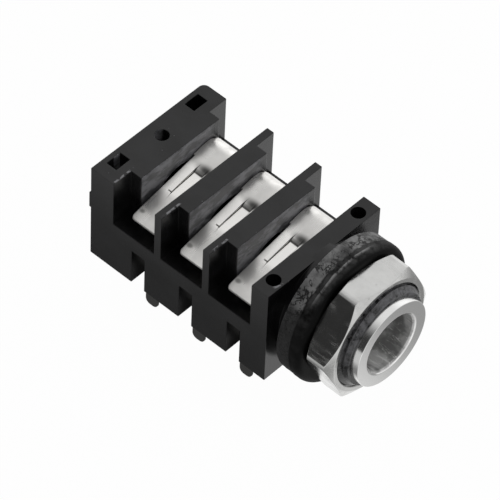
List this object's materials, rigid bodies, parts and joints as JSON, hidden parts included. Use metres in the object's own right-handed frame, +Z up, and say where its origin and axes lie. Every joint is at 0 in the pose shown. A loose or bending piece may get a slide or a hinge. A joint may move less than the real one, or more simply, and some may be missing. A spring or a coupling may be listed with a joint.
{
  "type": "audio jack socket",
  "caption": "Open-frame panel and board jack socket with lifting leaf contacts, break contacts, a metal-lined threaded bush, washers and a hexagon nut.",
  "frame": {"origin": "on the bore's axis, at the front face of the bush's shoulder where the washers and the panel seat", "axes": "+X along the bore towards the mouth where the plug goes in, +Z up from the board, +Y towards the contacts' arched ends"},
  "size_m": [0.0326, 0.0158, 0.0186],
  "materials": {
    "housing_plastic": "black moulding, semi-gloss",
    "sleeve_plating": "bright nickel plating, turned",
    "nut_plating": "nickel plating, satin",
    "fibre_washer": "dark pressed fibre, rough rim",
    "plastic_washer": "smooth black",
    "contact_plating": "plated spring strip, satin"
  },
  "bodies": {
    "socket": {"housing": "housing_plastic", "ferrule": "sleeve_plating", "inner_washer": "fibre_washer", "tip_spring_post": "contact_plating", "tip_break_contact": "contact_plating", "ring_spring_post": "contact_plating", "ring_break_contact": "contact_plating", "sleeve_spring_post": "contact_plating", "sleeve_break_contact": "contact_plating"},
    "nut_washer": {"outer_washer": "plastic_washer"},
    "nut": {"hex_nut": "nut_plating"},
    "tip_leaf": {"tip_spring_arm": "contact_plating"},
    "ring_leaf": {"ring_spring_arm": "contact_plating"},
    "sleeve_leaf": {"sleeve_spring_arm": "contact_plating"}
  },
  "joints": [
    {"name": "nut_travel", "type": "slide", "parent": "socket", "child": "nut_washer", "axis": [1, 0, 0], "range_m": [0, 0.003]},
    {"name": "nut_turn", "type": "hinge", "parent": "nut_washer", "child": "nut", "pos_m": [0.0045, 0, 0], "axis": [1, 0, 0], "range_deg": [0, 1080]},
    {"name": "tip_lift", "type": "hinge", "parent": "socket", "child": "tip_leaf", "pos_m": [-0.01813, 0.00282, 0.00406], "axis": [-1, 0, 0], "range_deg": [0, 12], "stiffness_Nm_per_rad": 0.04, "springref_deg": -2.86},
    {"name": "ring_lift", "type": "hinge", "parent": "socket", "child": "ring_leaf", "pos_m": [-0.01179, 0.00282, 0.00406], "axis": [-1, 0, 0], "range_deg": [0, 12], "stiffness_Nm_per_rad": 0.04, "springref_deg": -2.86},
    {"name": "sleeve_lift", "type": "hinge", "parent": "socket", "child": "sleeve_leaf", "pos_m": [-0.00543, 0.00282, 0.00406], "axis": [-1, 0, 0], "range_deg": [0, 12], "stiffness_Nm_per_rad": 0.04, "springref_deg": -2.86}
  ],
  "couplings": [
    {"joint": "nut_turn", "follows": "nut_travel", "rad_per_m": 6283.2}
  ]
}
